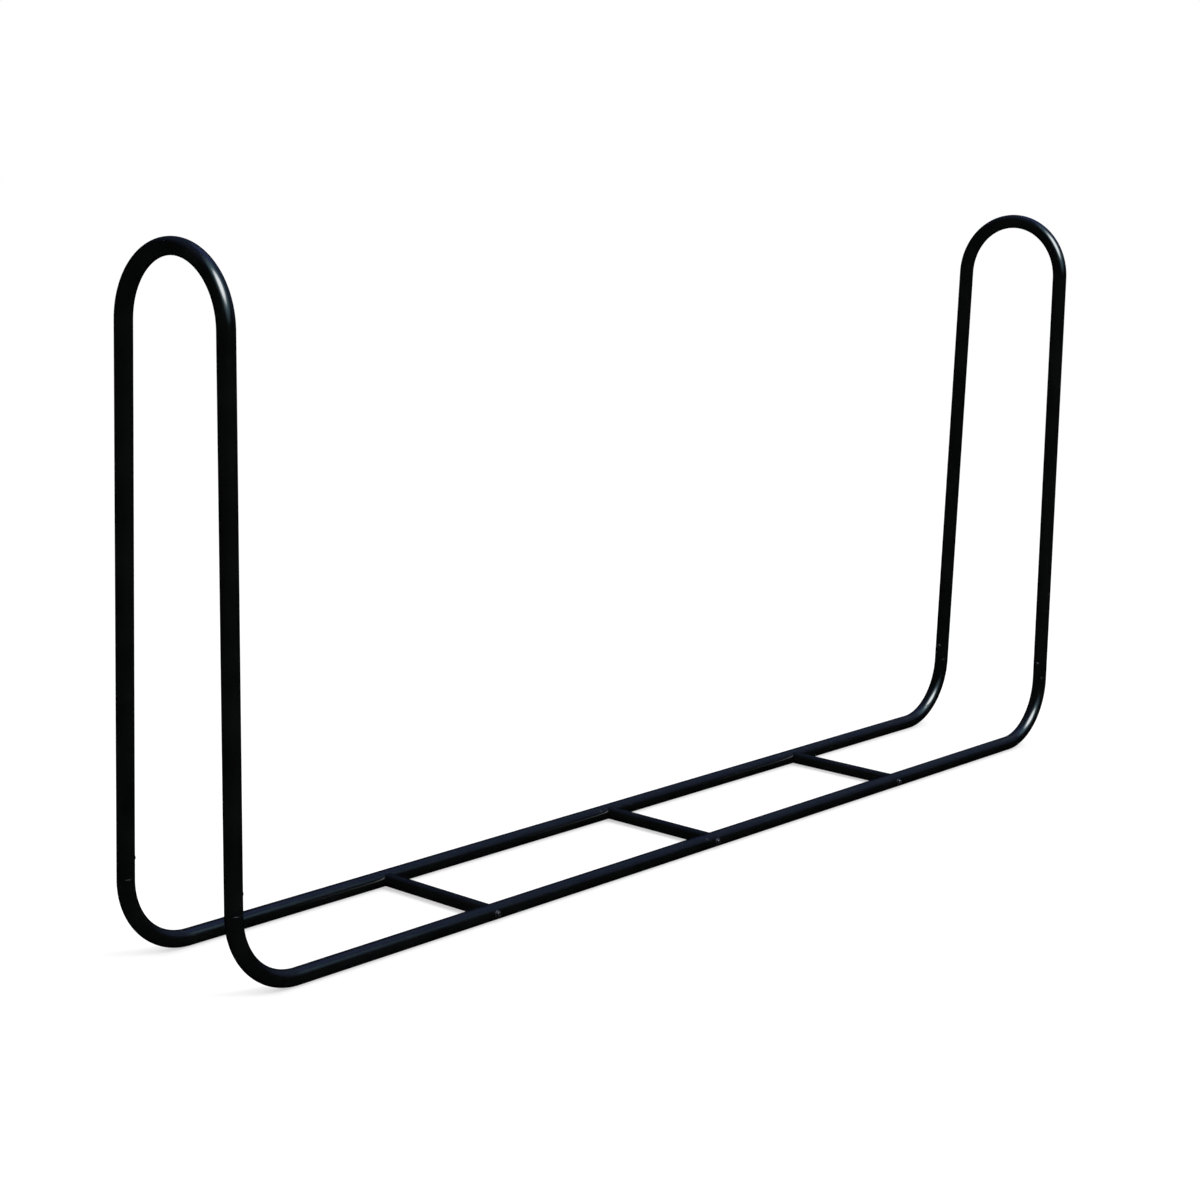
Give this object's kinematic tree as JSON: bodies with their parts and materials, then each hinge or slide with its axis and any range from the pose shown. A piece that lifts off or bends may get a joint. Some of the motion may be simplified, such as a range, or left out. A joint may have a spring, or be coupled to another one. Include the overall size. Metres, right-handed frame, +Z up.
{
  "type": "firewood log rack",
  "caption": "Long, narrow steel tube rack for stacking split firewood: arched end hoops on bent ground rails, tied by cross bars.",
  "frame": {"origin": "on the ground, under the middle of the rack", "axes": "+Z up, X along the rack, -Y its front; the two long sides are alike"},
  "size_m": [2.44, 0.3096, 1.19],
  "materials": {
    "frame_enamel": "glossy near-black enamel with a faint blue cast",
    "black_zinc": "satin black zinc plating",
    "bare_steel": "dull bare steel"
  },
  "bodies": {
    "root": {"left_hoop": "frame_enamel", "right_hoop": "frame_enamel", "front_left_base_rail": "frame_enamel", "front_right_base_rail": "frame_enamel", "back_left_base_rail": "frame_enamel", "back_right_base_rail": "frame_enamel", "left_cross_bar": "frame_enamel", "centre_cross_bar": "frame_enamel", "right_cross_bar": "frame_enamel", "left_cross_bar_front_plug": "bare_steel", "left_cross_bar_back_plug": "bare_steel", "centre_cross_bar_front_plug": "bare_steel", "centre_cross_bar_back_plug": "bare_steel", "right_cross_bar_front_plug": "bare_steel", "right_cross_bar_back_plug": "bare_steel", "front_left_rail_bolt": "black_zinc", "front_centre_rail_bolt": "black_zinc", "front_right_rail_bolt": "black_zinc", "back_left_rail_bolt": "black_zinc", "back_centre_rail_bolt": "black_zinc", "back_right_rail_bolt": "black_zinc", "front_left_rail_washer": "black_zinc", "front_centre_rail_washer": "black_zinc", "front_right_rail_washer": "black_zinc", "back_left_rail_washer": "black_zinc", "back_centre_rail_washer": "black_zinc", "back_right_rail_washer": "black_zinc", "front_left_leg_screw": "black_zinc", "front_right_leg_screw": "black_zinc", "back_left_leg_screw": "black_zinc", "back_right_leg_screw": "black_zinc", "front_left_leg_nut": "bare_steel", "front_right_leg_nut": "bare_steel", "back_left_leg_nut": "bare_steel", "back_right_leg_nut": "bare_steel"}
  },
  "joints": []
}
